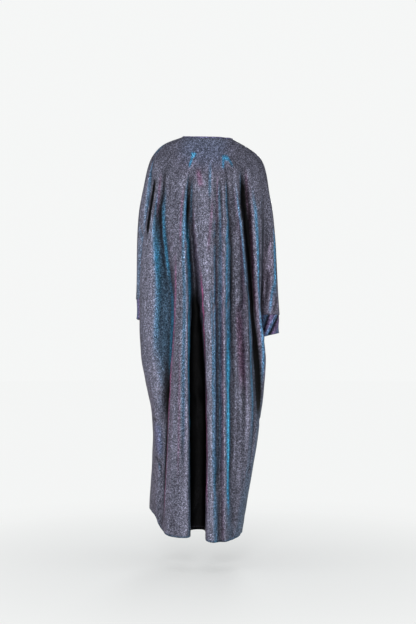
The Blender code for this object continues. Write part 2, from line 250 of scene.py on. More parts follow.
# Creases and streaks run from one place on a panel to another. Each row: fold, drop, fold, drop,
# width, and for a crease its rise. fold: which fold line, counted from 0 at the left side. drop:
# how far down the cloth, in mm. width: half width, in mm. rise: how far the cloth stands out, in
# mm. Troughs are below 0.
BACK_CREASES = (
    # grooves from the yoke, and the notch under the left sleeve
    (5.7, 92, 5.7, 430, 7, -4.5), (11.6, 92, 11.7, 430, 6, -4.0), (13.6, 96, 13.9, 430, 7, -5.0),
    (3.3, 100, 3.0, 420, 6, -3.5), (1.3, 170, 1.7, 380, 5, -6.0), (8.0, 130, 8.1, 420, 5, -2.4),
    (8.9, 110, 8.9, 300, 5, -1.8), (10.4, 120, 10.7, 330, 5, -2.2),
    # the ridge at the left edge, and the valley
    (2.2, 200, 2.1, 700, 7, 2.6), (2.6, 300, 2.5, 760, 7, -3.0), (3.25, 190, 2.9, 620, 6, 3.0),
    (3.3, 560, 3.1, 1000, 9, -3.0),
    # the left ridge, its hollow and undercut, the recess's lip
    (4.15, 240, 4.05, 1390, 7, 2.4), (4.7, 250, 4.62, 1370, 6, -3.0),
    (5.0, 420, 4.95, 1300, 6, 2.2), (5.5, 500, 5.3, 1300, 5, 1.0), (3.6, 520, 3.1, 1010, 6, -4.0),
    (3.15, 940, 3.2, 1385, 5, -3.6), (3.9, 420, 3.45, 1020, 5, 2.8),
    (3.5, 940, 3.55, 1390, 4, 2.6),
    # the middle
    (8.45, 260, 8.6, 1370, 9, 3.0), (9.0, 420, 8.95, 1100, 5, -1.8),
    (9.6, 200, 9.3, 1380, 5, -3.0), (10.2, 260, 10.2, 1380, 6, 2.4),
    # the brightest ridge
    (11.05, 240, 11.05, 1380, 5, 2.2), (11.75, 380, 11.75, 760, 6, -4.0),
    (11.65, 700, 11.7, 1370, 6, -3.0),
    # the right ridge and its grooves
    (12.15, 220, 12.1, 1340, 7, 3.2), (12.65, 260, 12.5, 640, 8, -3.4),
    (12.5, 600, 12.85, 1230, 9, -3.8), (12.95, 300, 13.2, 1300, 6, 3.2),
    (13.55, 700, 13.6, 1250, 6, -2.8),
    # below the right sleeve
    (14.7, 220, 14.4, 700, 6, 3.2), (15.3, 280, 15.2, 700, 7, -3.8),
    (15.6, 700, 14.9, 1010, 7, 2.6),
    # the pinch at the left cuff
    (0.6, 538, 1.1, 546, 5, -4.0),
    # knees and calves
    (1.2, 1004, 2.4, 1016, 8, -5.0), (15.4, 1004, 14.4, 1016, 8, -5.0),
    (1.7, 1146, 3.1, 1190, 7, -3.0), (1.7, 1164, 2.9, 1214, 7, 1.6),
    (1.4, 1230, 2.4, 1290, 8, -2.2), (14.4, 1130, 13.4, 1196, 9, -2.4),
)
FRONT_CREASES = (
    # grooves from chest and shoulders
    (3.5, 130, 3.65, 560, 6, -4.0), (5.9, 150, 6.05, 380, 7, -3.0), (8.6, 110, 8.4, 640, 6, -4.4),
    (2.2, 140, 1.8, 520, 7, -4.4), (10.1, 170, 10.4, 400, 6, -3.4),
    # slanting drags over chest and waist
    (1.6, 300, 3.7, 640, 10, -4.2), (1.9, 260, 4.1, 600, 9, 3.2), (10.6, 330, 7.9, 760, 11, -4.4),
    (10.4, 290, 7.6, 690, 9, 3.4), (6.6, 520, 4.9, 940, 10, -2.6),
    # the left edge and valley
    (1.2, 240, 1.15, 900, 8, 2.6), (1.7, 420, 1.5, 760, 6, -3.0), (2.4, 300, 2.55, 860, 8, 3.2),
    (2.2, 900, 2.6, 1385, 9, 2.8),
    # the left breast and fold
    (2.9, 180, 3.05, 980, 8, 2.8), (3.35, 700, 3.2, 1385, 7, -4.0), (4.35, 560, 4.2, 1385, 7, 3.0),
    (4.5, 250, 4.3, 500, 5, 2.0),
    # the middle
    (4.85, 420, 4.95, 1385, 8, 3.0), (5.4, 260, 5.25, 980, 5, -2.6), (6.3, 700, 6.5, 1380, 8, 3.4),
    (7.0, 200, 7.1, 860, 9, 2.8), (7.5, 560, 7.35, 1385, 7, -4.2), (7.7, 240, 7.55, 520, 4, -2.0),
    # the right fold, breast and edge
    (8.3, 460, 8.45, 1000, 6, 2.6), (9.0, 300, 9.2, 1385, 9, 3.0), (9.6, 620, 9.35, 1200, 6, -3.4),
    (10.8, 260, 10.7, 640, 7, 2.6), (11.3, 380, 11.15, 980, 7, -3.2),
    # knees, calves, and a fall above the hem
    (1.4, 990, 3.0, 1036, 9, -3.8), (10.8, 1020, 9.4, 1066, 9, -3.6),
    (1.6, 1180, 3.4, 1250, 9, -3.0), (10.6, 1150, 8.9, 1230, 9, -2.8),
    (6.7, 1120, 5.6, 1330, 9, -2.4),
)
# On the sleeves a fold is counted from the underarm, below 0, and -4 is the overarm seam.
SLEEVE_CREASES = (
    # the elbow
    (-2.6, 330, -1.0, 420, 8, -3.0), (-2.4, 370, -0.8, 450, 7, 2.4),
    (-0.8, 420, -2.4, 480, 7, -2.4),
    # the forearm
    (-1.3, 440, -1.1, 590, 6, -3.0), (-2.2, 450, -1.9, 590, 6, 2.6),
    (-3.1, 500, -1.6, 575, 6, -2.6),
    # gathers above the cuff
    (-0.7, 545, -0.8, 600, 4, -2.2), (-2.9, 540, -3.0, 600, 4, -2.0),
)

# Streaks of painted sheen, blue and rose, and of painted shade, dark. Each row ends with how
# strong the colour is. Above 1 it is brightest.
# The first table is for the right sleeve, which turns more of its side to the back.
# Painted blue sheen on the right sleeve.
SLEEVE_TEAL = (
    # the forearm
    (-2.85, 330, -2.7, 560, 6, 0.8), (-2.5, 500, -1.8, 602, 5, 0.6),
)
# Painted shade on the right sleeve.
SLEEVE_DARK = (
    # the elbow, the gathers, the underarm
    (-1.9, 440, -1.3, 600, 7, 0.45), (-3.2, 540, -2.2, 604, 5, 0.6),
    (-0.6, 300, -0.4, 600, 10, 0.6),
)
SLEEVE_STREAKS = {"teal": SLEEVE_TEAL, "dark": SLEEVE_DARK}
# Painted blue sheen on the back.
BACK_TEAL = (
    # the brightest ridge
    (11.35, 280, 11.3, 700, 5, 0.45), (11.45, 580, 11.5, 1370, 9, 1.1),
    (11.55, 700, 11.5, 1340, 4, 0.9),
    # the left valley: its flanks, and a wash
    (3.35, 190, 3.1, 560, 8, 0.8), (3.2, 480, 3.25, 900, 9, 0.9), (2.6, 260, 2.35, 830, 11, 0.5),
    (2.75, 280, 2.75, 920, 22, 0.4),
    # the recess's left flank
    (5.75, 260, 5.45, 660, 6, 0.75), (5.35, 520, 5.2, 1250, 8, 1.5),
    (5.35, 430, 5.05, 960, 5, 1.2),
    # a line on each plateau
    (4.75, 240, 4.65, 1200, 6, 0.45), (10.3, 240, 10.0, 1250, 8, 0.45),
    # the right sleeve's fall and the crest beside it
    (15.05, 190, 15.05, 640, 6, 0.65), (15.0, 560, 14.5, 900, 5, 0.7),
    (13.2, 420, 13.4, 1100, 4, 0.6), (12.75, 160, 13.0, 560, 4, 0.5),
    # a spot on each shoulder blade, with tails
    (6.7, 62, 5.7, 76, 9, 1.5), (6.0, 62, 5.2, 120, 4, 1.1), (11.3, 78, 12.4, 84, 8, 1.3),
    (11.5, 76, 11.2, 122, 4, 0.9), (12.1, 80, 12.7, 116, 4, 0.8),
    # the yoke, and fine lines below it
    (9.0, 85, 8.9, 230, 4, 0.4), (3.0, 40, 14.0, 60, 60, 0.18), (5.15, 150, 4.8, 430, 4, 0.45),
    (7.1, 150, 6.9, 330, 4, 0.35), (10.2, 150, 10.3, 420, 4, 0.35),
    # the left calf
    (2.0, 1010, 2.4, 1160, 20, 0.35),
)
# Painted rose sheen on the back.
BACK_ROSE = (
    # the left ridge's edge
    (4.0, 400, 3.6, 880, 4, 0.8), (3.65, 780, 3.4, 1030, 4, 1.1), (3.42, 940, 3.46, 1370, 3, 1.45),
    (4.4, 700, 4.4, 1250, 3, 0.4),
    # the recess's right edge
    (7.9, 450, 7.7, 860, 5, 1.5), (7.75, 760, 8.0, 1340, 6, 1.15),
    # the middle, the yoke, the right groove
    (9.65, 330, 9.1, 1240, 3, 0.45), (8.0, 110, 8.4, 190, 9, 0.5),
    (12.3, 560, 12.6, 920, 12, 0.45),
    # fine lines below the yoke
    (14.2, 120, 14.3, 330, 5, 0.4), (4.6, 170, 4.45, 430, 3, 0.5), (9.3, 210, 8.7, 430, 4, 0.4),
    (10.0, 120, 9.6, 360, 3, 0.35),
    # the left blade, the drape's edge, the sleeve's crest
    (2.9, 150, 2.75, 330, 5, 0.4), (1.0, 380, 1.0, 900, 6, 0.7), (14.4, 260, 14.3, 640, 4, 0.4),
    # washes on yoke and calf
    (3.0, 50, 14.0, 80, 70, 0.12), (2.0, 1010, 2.4, 1160, 20, 0.3),
)
# Painted shade on the back: recess, valleys, grooves and the pinch.
BACK_DARK = (
    # the recess
    (6.3, 500, 6.5, 1405, 26, 1.0), (5.8, 130, 6.0, 560, 9, 0.75),
    # fine shades below the yoke
    (4.9, 140, 4.65, 430, 4, 0.35), (7.6, 140, 7.4, 420, 5, 0.35), (10.65, 110, 10.6, 430, 5, 0.4),
    (12.2, 100, 12.4, 400, 6, 0.4), (3.3, 110, 3.2, 300, 7, 0.5),
    # the right side valley, and the notch
    (13.75, 120, 13.65, 690, 25, 2.2), (13.75, 570, 14.15, 1030, 17, 2.0),
    (1.3, 160, 1.7, 400, 7, 2.0),
    # the left valley
    (3.15, 170, 2.95, 680, 24, 0.85), (2.95, 560, 3.05, 1060, 20, 0.85),
    # the left ridge's undercut, and grooves
    (3.45, 700, 3.1, 1010, 6, 0.9), (3.2, 940, 3.25, 1290, 5, 0.7), (4.7, 260, 4.62, 1340, 4, 0.3),
    (9.6, 260, 9.3, 1340, 4, 0.3),
    # the sleeve, the right groove, the brightest ridge
    (15.7, 240, 15.6, 640, 12, 0.7), (12.55, 380, 12.7, 1150, 7, 0.4),
    (11.85, 200, 11.8, 660, 4, 0.5),
    # the pinch, the recess's lip, the calf
    (0.6, 538, 1.1, 546, 5, 1.2), (5.3, 480, 5.15, 1390, 4, 0.4), (1.6, 1152, 3.1, 1192, 4, 0.6),
    # soft shades: left edge, left ridge, right slope
    (2.75, 240, 2.45, 860, 16, 0.95), (4.3, 240, 4.2, 1100, 16, 0.25),
    (12.95, 260, 13.1, 1000, 10, 0.5),
)
BACK_STREAKS = {"teal": BACK_TEAL, "rose": BACK_ROSE, "dark": BACK_DARK}
# Painted blue sheen on the front.
FRONT_TEAL = (
    # flanks of the breasts and the deep folds
    (3.5, 380, 3.6, 980, 6, 0.8), (5.5, 300, 5.45, 900, 7, 1.0), (5.4, 860, 5.5, 1370, 9, 1.2),
    (7.65, 520, 7.55, 1380, 6, 0.9), (9.55, 300, 9.6, 760, 7, 0.6),
    # the left edge
    (1.6, 300, 1.5, 860, 9, 0.5),
    # the chest
    (3.4, 120, 3.5, 300, 4, 0.7), (8.6, 150, 8.5, 280, 4, 0.6),
)
# Painted rose sheen on the front.
FRONT_ROSE = (
    # edges of the deep folds
    (4.45, 360, 4.4, 1280, 5, 0.8), (6.5, 600, 6.45, 1360, 6, 1.3), (8.5, 420, 8.4, 900, 5, 0.6),
    # edges of both valleys
    (2.3, 700, 2.4, 1250, 5, 0.6), (10.4, 420, 10.3, 1000, 6, 0.6),
)
# Painted shade on the front.
FRONT_DARK = (
    # the deep folds
    (4.0, 420, 4.0, 1385, 12, 0.8), (6.0, 300, 6.0, 1385, 16, 1.0),
    (8.05, 360, 8.0, 1100, 10, 0.8),
    # both valleys
    (2.0, 300, 2.0, 1000, 10, 0.6), (10.1, 300, 10.1, 980, 9, 0.6),
    # the slanting drags
    (6.6, 520, 4.9, 940, 6, 0.3), (1.6, 300, 3.7, 640, 6, 0.35), (10.6, 330, 7.9, 760, 6, 0.35),
)
FRONT_STREAKS = {"teal": FRONT_TEAL, "rose": FRONT_ROSE, "dark": FRONT_DARK}


def drop_of(level):
    """How far down the cloth a level lies, in metres."""
    return LEVELS[level][1] * MM


def unit(vectors):
    return vectors / np.maximum(np.linalg.norm(vectors, axis=-1, keepdims=True), 1e-12)


def smooth(low, high, values):
    """0 below low, 1 above high, and a soft step between them."""
    t = np.clip((values - low) / (high - low), 0.0, 1.0)
    return t * t * (3 - 2 * t)


def ring_height(level, turn, back):
    """The height of a level's ring: its side heights turn into its back or front height."""
    _, _, left_z, right_z, back_z, front_z = LEVELS[level]
    side = left_z if math.cos(turn) > 0 else right_z
    end = back_z if back else front_z
    share = math.sin(turn) ** 2
    return side * (1 - share) + end * share


def oval_point(level, turn, back):
    """The point of a smooth ring above the armpit, at an angle round it."""
    _, left_x, right_x, back_y, front_y = OVALS[level]
    across = math.cos(turn)
    x = (left_x if across > 0 else -right_x) * across
    y = (back_y if back else front_y) * math.sin(turn)
    return x, y, ring_height(level, turn, back)


def armpit_turn(x, y, middle=0.0):
    """The angle of points in mm round the armpit's oval, from its left side, below 0 in front."""
    left_x, right_x, back_y, front_y = ARMPIT_OVAL
    half_width = np.where(x > 0, left_x, -right_x)
    half_depth = np.where(y >= middle, back_y - middle, middle - front_y)
    return np.arctan2((y - middle) / half_depth, x / half_width)


def wall_height(level, x, y):
    """The height at a point of a level with folds, from its angle about the level's middle."""
    return ring_height(level, armpit_turn(x, y), y > 0)


def line_points(armpit, lower, hem_z):
    """One fold line: its point at each level, from the neck down, in metres."""
    x, y = armpit
    turn = abs(armpit_turn(x, y, ARMPIT_SIDE_Y))
    points = [oval_point(level, turn, y >= ARMPIT_SIDE_Y) for level in range(len(OVALS))]
    for level, (px, py) in enumerate((armpit, *lower), len(OVALS)):
        points.append((px, py, wall_height(level, px, py)))
    if hem_z is not None:
        points[-1] = (*lower[-1], hem_z)
    return np.array(points) * MM


def fold_lines(table):
    """The fold lines of a panel, from its left side to its right side."""
    lines = []
    for _, _, *places, hem_z in table:
        armpit, *lower = zip(places[::2], places[1::2])
        lines.append(line_points(armpit, lower, hem_z))
    return lines


def arm_lines(side, back):
    """The lines of one half of a sleeve, from the overarm seam to the one before the underarm."""
    outline = ARM_OUTLINE[side]
    sign = 1 if side == "left" else -1
    centre_x, centre_y, radius = WRIST[side]
    lines = []
    for _, angle, inset, back_y, front_y in ARM_LINES:
        turn = math.radians(angle if back else -angle)
        cuff = (centre_x + sign * radius * math.cos(turn), centre_y + radius * math.sin(turn))
        armpit = (outline - sign * inset, back_y if back else front_y)
        lines.append(line_points(armpit, (cuff,), None))
    return lines


def hermite(t, start, start_slope, end, end_slope):
    return (
        (1 + 2 * t) * (1 - t) ** 2 * start
        + t * (1 - t) ** 2 * start_slope
        + t * t * (3 - 2 * t) * end
        + t * t * (t - 1) * end_slope
    )


def down(line, drops):
    """The points of a fold line at many drops, on a smooth curve through its levels."""
    knots = np.array([drop_of(level) for level in range(len(line))])
    slopes = np.gradient(line, knots, axis=0)
    piece = np.clip(np.searchsorted(knots, drops, side="right") - 1, 0, len(knots) - 2)
    span = (knots[piece + 1] - knots[piece])[:, None]
    ends = (line[piece], span * slopes[piece], line[piece + 1], span * slopes[piece + 1])
    return hermite((drops - knots[piece])[:, None] / span, *ends)


def across(points, cells):
    """Rings through fold lines, for all rows at once. The outermost two lines only guide them."""
    gaps = np.diff(points, axis=1)
    steps = np.sqrt(np.linalg.norm(gaps, axis=2, keepdims=True))
    rates = gaps / steps
    chords = (points[:, 2:] - points[:, :-2]) / (steps[:, 1:] + steps[:, :-1])
    slopes = rates[:, :-1] + rates[:, 1:] - chords
    columns = []
    for i, count in enumerate(cells):
        step = steps[:, i + 1]
        ends = (points[:, i + 1], slopes[:, i] * step, points[:, i + 2], slopes[:, i + 1] * step)
        last = i == len(cells) - 1
        columns += [hermite(t, *ends) for t in np.arange(count + last) / count]
    return np.stack(columns, axis=1)


def fold_numbers(cells, first):
    """Which fold, with its fraction, each column of a stretch lies at."""
    numbers = [first + i + k / count for i, count in enumerate(cells) for k in range(count)]
    return np.array(numbers + [first + len(cells)])


def row_drops():
    """How far down the cloth each row lies."""
    drops = [drop_of(0)]
    for level, count in enumerate(ROWS_BETWEEN):
        low, high = drop_of(level), drop_of(level + 1)
        if level == CUFF_LEVEL:
            drops += [low + UNDERARM_RING * (i + 1) / UNDERARM_ROWS for i in range(UNDERARM_ROWS)]
            low += UNDERARM_RING
        drops += [low + (high - low) * (i + 1) / count for i in range(count)]
    return np.array(drops)


def path_reach(path):
    """How far along a path each of its points lies, in metres."""
    gaps = np.linalg.norm(np.diff(path, axis=0), axis=1)
    return np.concatenate([[0.0], np.cumsum(gaps)])


def read_along(places, reach, values):
    """Values at places along a path. Each axis of the values is read by itself."""
    return np.stack([np.interp(places, reach, column) for column in values.T], axis=-1)


class Stretch:
    """A rectangular stretch of cloth: its points, and where each lies by fold and drop."""

    def __init__(self, points, folds, drops, flip):
        self.points = points
        self.folds = folds
        self.drops = drops
        self.flip = flip
        self.reach = np.array([path_reach(row) for row in points])

    def normals(self):
        """Unit normals of the cloth, from the directions across and down it."""
        over, along = np.gradient(self.points, axis=1), np.gradient(self.points, axis=0)
        return unit(np.cross(over, along)) * self.flip

    def read(self, values, places):
        """Values of the grid at places along each row, in metres from the row's start."""
        return np.array([read_along(*row) for row in zip(places, self.reach, values)])

    def relief(self, away):
        """How far the cloth stands out from its surroundings on both sides, in metres."""
        sides = [self.read(self.points, self.reach + step) for step in (away, -away)]
        return ((self.points - sum(sides) / 2) * self.normals()).sum(2)

    def local_turn(self, away):
        """How far the cloth turns from its surroundings towards the right, as a sine."""
        normals = self.normals()
        steps = np.linspace(-away, away, 5)
        wide = unit(sum(self.read(normals, self.reach + step) for step in steps) * (1.0, 1.0, 0.0))
        return wide[..., 0] * normals[..., 1] - wide[..., 1] * normals[..., 0]

    def mark(self, row, edge):
        """The shape of one table row on this stretch, from 0 to 1. A high edge is crisper."""
        fold, drop, end_fold, end_drop, width, _ = row
        middle = (fold + end_fold) / 2
        if not self.folds[0] <= middle <= self.folds[-1]:
            return np.zeros(self.reach.shape)
        line = np.array([np.interp(middle, self.folds, reach) for reach in self.reach])
        nearest = int(np.searchsorted(self.drops, (drop + end_drop) / 2 * MM))
        nearest = self.reach[min(nearest, len(self.drops) - 1)]
        first, centre, last = np.interp((fold, middle, end_fold), self.folds, nearest)
        way = np.array([last - first, (end_drop - drop) * MM])
        length = np.linalg.norm(way)
        way /= length
        over = self.reach - line[:, None] - (first - centre)
        along = (self.drops - drop * MM)[:, None]
        share = (over * way[0] + along * way[1]) / length
        sideways = over * way[1] - along * way[0]
        taper = smooth(0.0, 0.3, share) * smooth(0.0, 0.3, 1 - share)
        return np.exp(-(np.abs(sideways / (width * MM)) ** edge)) * taper

    def total(self, table, edge=2):
        """All rows of a table together, each as strong as its last column says."""
        return sum((self.mark(row, edge) * row[-1] for row in table), np.zeros(self.reach.shape))


def panel_stretches(back):
    """The three stretches of a panel: left sleeve half, body, right sleeve half."""
    table, partner = (BACK_FOLDS, FRONT_FOLDS) if back else (FRONT_FOLDS, BACK_FOLDS)
    body_lines, other_lines = fold_lines(table), fold_lines(partner)
    drops = row_drops()
    flip = -1 if back else 1
    rows = [down(line, drops) for line in (other_lines[1], *body_lines, other_lines[-2])]
    closed = np.clip((drops - drop_of(CUFF_LEVEL)) / UNDERARM_RING, 0.0, 1.0)[:, None] / 2
    for place, line in ((1, other_lines[0]), (-2, other_lines[-1])):
        rows[place] = rows[place] * (1 - closed) + down(line, drops) * closed
    cells = [row[1] for row in table[:-1]]
    body = Stretch(across(np.stack(rows, 1), cells), fold_numbers(cells, 0), drops, flip)
    drops = drops[drops <= drop_of(CUFF_LEVEL) + 1e-9]
    cells = [ARM_CELLS] * len(ARM_LINES)
    sleeves = []
    for side, end, sign in (("left", body_lines[0], 1), ("right", body_lines[-1], -1)):
        lines = arm_lines(side, back)
        end = end[: CUFF_LEVEL + 1]
        guides = (arm_lines(side, not back)[1], *lines, end, 2 * end - lines[-1])
        points = across(np.stack([down(line, drops) for line in guides], 1), cells)
        sleeves.append(Stretch(points, fold_numbers(cells, -len(cells)), drops, flip * sign))
    return sleeves[0], body, sleeves[1]


def small_waves(stretch, phase):
    """Small uneven rolls of the cloth between the folds, in metres."""
    reach = stretch.reach
    drop = stretch.drops[:, None]
    wander = 1.3 * np.sin(drop * 13.0 + phase) + 0.8 * np.sin(drop * 29.0 + 2 * phase)
    strength = 0.6 + 0.4 * np.sin(drop * 19.0 + reach * 11.0 + phase)
    wide = np.sin(reach * WIDE_ROLLS[0] + wander)
    narrow = np.sin(reach * NARROW_ROLLS[0] - 1.7 * wander + drop * 9.0)
    cross = np.sin(drop * CROSS_ROLLS[0] + reach * 37.0 + 3 * phase)
    rolls = (WIDE_ROLLS[1] * wide + NARROW_ROLLS[1] * narrow) * strength
    return MM * (rolls + CROSS_ROLLS[1] * cross)


def seam_hold(stretch, body):
    """1 on the open cloth and 0 at the seams, where both panels meet."""
    hold = np.minimum(stretch.reach, stretch.reach[:, -1:] - stretch.reach) / SEAM_CALM
    if not body:
        above_cuff = ((drop_of(CUFF_LEVEL) - stretch.drops) / CUFF_CALM)[:, None]
        hold = np.minimum(hold, above_cuff)
    return smooth(0.0, 1.0, hold)


def hull_depth(ring, points):
    """How far points lie inside the convex outline of a ring, seen from above."""
    flat = ring[np.lexsort((ring[:, 1], ring[:, 0]))][:, :2]
    outline = []
    for order in (flat, flat[::-1]):
        start = len(outline)
        for point in order:
            while len(outline) - start >= 2:
                a, b = outline[-2], outline[-1]
                if (b[0] - a[0]) * (point[1] - a[1]) - (b[1] - a[1]) * (point[0] - a[0]) > 0:
                    break
                outline.pop()
            outline.append(point)
        outline.pop()
    outline = np.array(outline)
    edges = np.roll(outline, -1, axis=0) - outline
    inwards = unit(np.stack([-edges[:, 1], edges[:, 0]], 1))
    return ((points[:, None, :2] - outline) * inwards).sum(2).min(1)


def flank_turn(points, normals):
    """How far the cloth turns from the garment's flattened outline, as a sine."""
    angle = armpit_turn(points[..., 0] / MM, points[..., 1] / MM)
    middle = np.where(points[..., 1] > 0, math.pi / 2, -math.pi / 2)
    off = (angle - middle) / (math.pi / 2)
    facing = middle + off**3 * math.pi / 2
    return np.cos(facing) * normals[..., 1] - np.sin(facing) * normals[..., 0]


class Cloth:
    """A panel as one grid of points, with its marks of painted sheen and shade and its flat
    coordinates.
    """

    def __init__(self, back, thickness):
        self.thickness = thickness
        self.parts = panel_stretches(back)
        self.drops = self.parts[1].drops
        creases = BACK_CREASES if back else FRONT_CREASES
        streaks = BACK_STREAKS if back else FRONT_STREAKS
        for place, part in enumerate(self.parts):
            body = place == 1
            rise = part.total(creases if body else SLEEVE_CREASES)
            lift = rise * MM + small_waves(part, 0.7 + place + 2.1 * back)
            part.points = part.points + part.normals() * (lift * seam_hold(part, body))[..., None]
            # Painted sheen, blue and rose, and painted shade from the streak tables, and the turn
            # of each flank, which sets more painted sheen.
            table = ({}, streaks, SLEEVE_STREAKS)[place]
            part.colours = {
                colour: part.total(table.get(colour, ()), CRISP_EDGE) for colour in MARKS[:3]
            }
            # Painted shade in each groove, by its depth.
            part.colours["dark"] += np.maximum(-rise - 0.8, 0.0) * GROOVE_SHADE
            # Crest relief, for a painted highlight on crests and painted shade in hollows.
            crests = [np.tanh(part.relief(away) / height) for away, height in RELIEFS]
            part.colours["crest"] = sum(crests) / 2
            part.colours["turn"] = part.local_turn(TURN_REACH)

    def joined(self, values):
        """One grid from the stretches' values. Rows below the cuffs have no sleeve columns."""
        left, body, right = values
        pad = np.full((len(body) - len(left), *left[:, :-1].shape[1:]), np.nan)
        left, right = (np.concatenate([sleeve[:, :-1], pad]) for sleeve in (left, right))
        return np.concatenate([left, body, right[:, ::-1]], axis=1)

    def points(self):
        return self.joined([part.points for part in self.parts])

    def normals(self):
        normals = [part.normals() for part in self.parts]
        for place, end in ((0, 0), (2, -1)):
            rows = len(normals[place])
            normals[1][:rows, end] = unit(normals[1][:rows, end] + normals[place][:, -1])
        return self.joined(normals)

    def flat(self):
        """Flat coordinates in metres: across the cloth and down it."""
        left, body, right = (part.reach for part in self.parts)
        right_end = body[: len(right), -1:] + right[:, -1:]
        over = self.joined([left - left[:, -1:], body, right_end - right])
        over -= body[:, body.shape[1] // 2][:, None]
        drop = np.broadcast_to(self.drops[:, None], over.shape)
        return np.stack([over, drop], axis=-1)

    def painted_marks(self, colour):
        return self.joined([part.colours[colour] for part in self.parts])


def new_mesh(name, points, faces, flat=None):
    """A mesh of points and faces, with the flat coordinates of its points if it has a weave."""
    mesh = bpy.data.meshes.new(name)
    mesh.from_pydata(points.tolist(), [], faces)
    if flat is not None:
        layer = mesh.uv_layers.new(name=FLAT_MAP)
        corners = flat[np.concatenate(faces)]
        layer.data.foreach_set("uv", corners.astype(np.float32).reshape(-1))
    mesh.update()
    return mesh


def wall_mesh(name, outer, inner, outer_faces_out, flat, marks):
    """A thin closed shell between two grids, with its flat coordinates and colour marks."""
    present = ~np.isnan(outer[..., 0])
    count = int(present.sum())
    index = np.full(present.shape, -1)
    index[present] = np.arange(count)
    quads = np.stack([index[:-1, :-1], index[1:, :-1], index[1:, 1:], index[:-1, 1:]], -1)
    quads = quads.reshape(-1, 4)
    quads = quads[quads.min(1) >= 0]
    if not outer_faces_out:
        quads = quads[:, ::-1]
    edges = np.concatenate([quads[:, [i, (i + 1) % 4]] for i in range(4)])
    keys, twins = edges @ (count, 1), edges @ (1, count)
    a, b = edges[~np.isin(keys, twins)].T
    rims = np.stack([b, a, count + a, count + b], 1)
    faces = np.concatenate([quads, quads[:, ::-1] + count, rims])
    points = np.concatenate([outer[present], inner[present]])
    mesh = new_mesh(name, points, faces.tolist(), np.tile(flat[present], (2, 1)))
    for mark, values in marks.items():
        attribute = mesh.attributes.new(mark, "FLOAT", "POINT")
        attribute.data.foreach_set("value", np.tile(values[present], 2).astype(np.float32))
    return mesh


def link(name, data):
    """A new object of the scene."""
    made = bpy.data.objects.new(name, data)
    bpy.context.scene.collection.objects.link(made)
    return made


def add_piece(name, mesh, material, replaced=None):
    """Links a piece of the garment, tells the frame what it rides on, and hides the solid it
    stands for.
    """
    mesh.materials.append(material)
    mesh.shade_smooth()
    piece = link(name, mesh)
    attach(piece, "root")
    if replaced:
        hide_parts(replaced)
    return piece


class Value:
    """A socket of a material, so that sums and products of sockets read as plain maths."""

    def __init__(self, finish, socket):
        self.finish = finish
        self.socket = socket

    def math(self, operation, *values):
        sockets = dict(enumerate(values))
        return self.finish.node("ShaderNodeMath", {"operation": operation}, sockets)

    def __add__(self, other):
        return self.math("ADD", self, other)

    __radd__ = __add__

    def __mul__(self, other):
        return self.math("MULTIPLY", self, other)

    __rmul__ = __mul__

    def __sub__(self, other):
        return self.math("SUBTRACT", self, other)

    def __rsub__(self, other):
        return self.math("SUBTRACT", other, self)

    def limited(self):
        """The value, kept from 0 to 1."""
        return self.math("MINIMUM", self.math("MAXIMUM", self, 0.0), 1.0)


class Finish:
    """A material under a maker's name, built from nodes."""

    def __init__(self, name):
        self.material = bpy.data.materials.new(name)
        self.material.use_nodes = True
        self.tree = self.material.node_tree
        self.shader = self.tree.nodes["Principled BSDF"]

    def put(self, socket, value):
        if isinstance(value, Value):
            self.tree.links.new(value.socket, socket)
        elif socket.type == "RGBA":
            socket.default_value = (*value, 1.0)
        else:
            socket.default_value = value

    def drive(self, name, value):
        """Sets or links an input of the material's shader."""
        self.put(self.shader.inputs[name], value)

    def node(self, kind, settings=None, sockets=None, output=0):
        """Any node: its settings first, then values or links for its sockets."""
        node = self.tree.nodes.new(kind)
        for key, value in (settings or {}).items():
            setattr(node, key, value)
        for key, value in (sockets or {}).items():
            self.put(node.inputs[key], value)
        return Value(self, node.outputs[output])

    def mark(self, name):
        return self.node("ShaderNodeAttribute", {"attribute_name": name}, output="Fac")

    def mix(self, first, second, factor, blend="MIX"):
        """A colour between two colours, or with another blend their product."""
        settings = {"data_type": "RGBA", "blend_type": blend}
        return self.node("ShaderNodeMix", settings, {0: factor, 6: first, 7: second}, output=2)

    def tint(self, colour, strength):
        """A colour made lighter or darker by a value."""
        shade = self.node("ShaderNodeCombineColor", None, {0: strength, 1: strength, 2: strength})
        return self.mix(colour, shade, 1.0, "MULTIPLY")

    def stretched(self, vector, scale):
        return self.node("ShaderNodeVectorMath", {"operation": "MULTIPLY"}, {0: vector, 1: scale})

    def cells(self, vector, size, height):
        """A random value from 0 to 1 for each small cell of the cloth, taller than it is wide."""
        place = self.stretched(vector, (1 / size, 1 / size, 1 / height))
        sockets = {"Vector": place, "Scale": 1.0, "Randomness": 1.0}
        colour = self.node("ShaderNodeTexVoronoi", None, sockets, output="Color")
        return self.node("ShaderNodeSeparateColor", None, {0: colour})

    def noise(self, vector, scale, detail=2.0):
        place = self.stretched(vector, scale)
        sockets = {"Vector": place, "Scale": 1.0, "Detail": detail, "Roughness": 0.5}
        return self.node("ShaderNodeTexNoise", None, sockets)

    def bump(self, height, distance):
        sockets = {"Height": height, "Distance": distance, "Strength": 1.0}
        self.drive("Normal", self.node("ShaderNodeBump", None, sockets, output="Normal"))


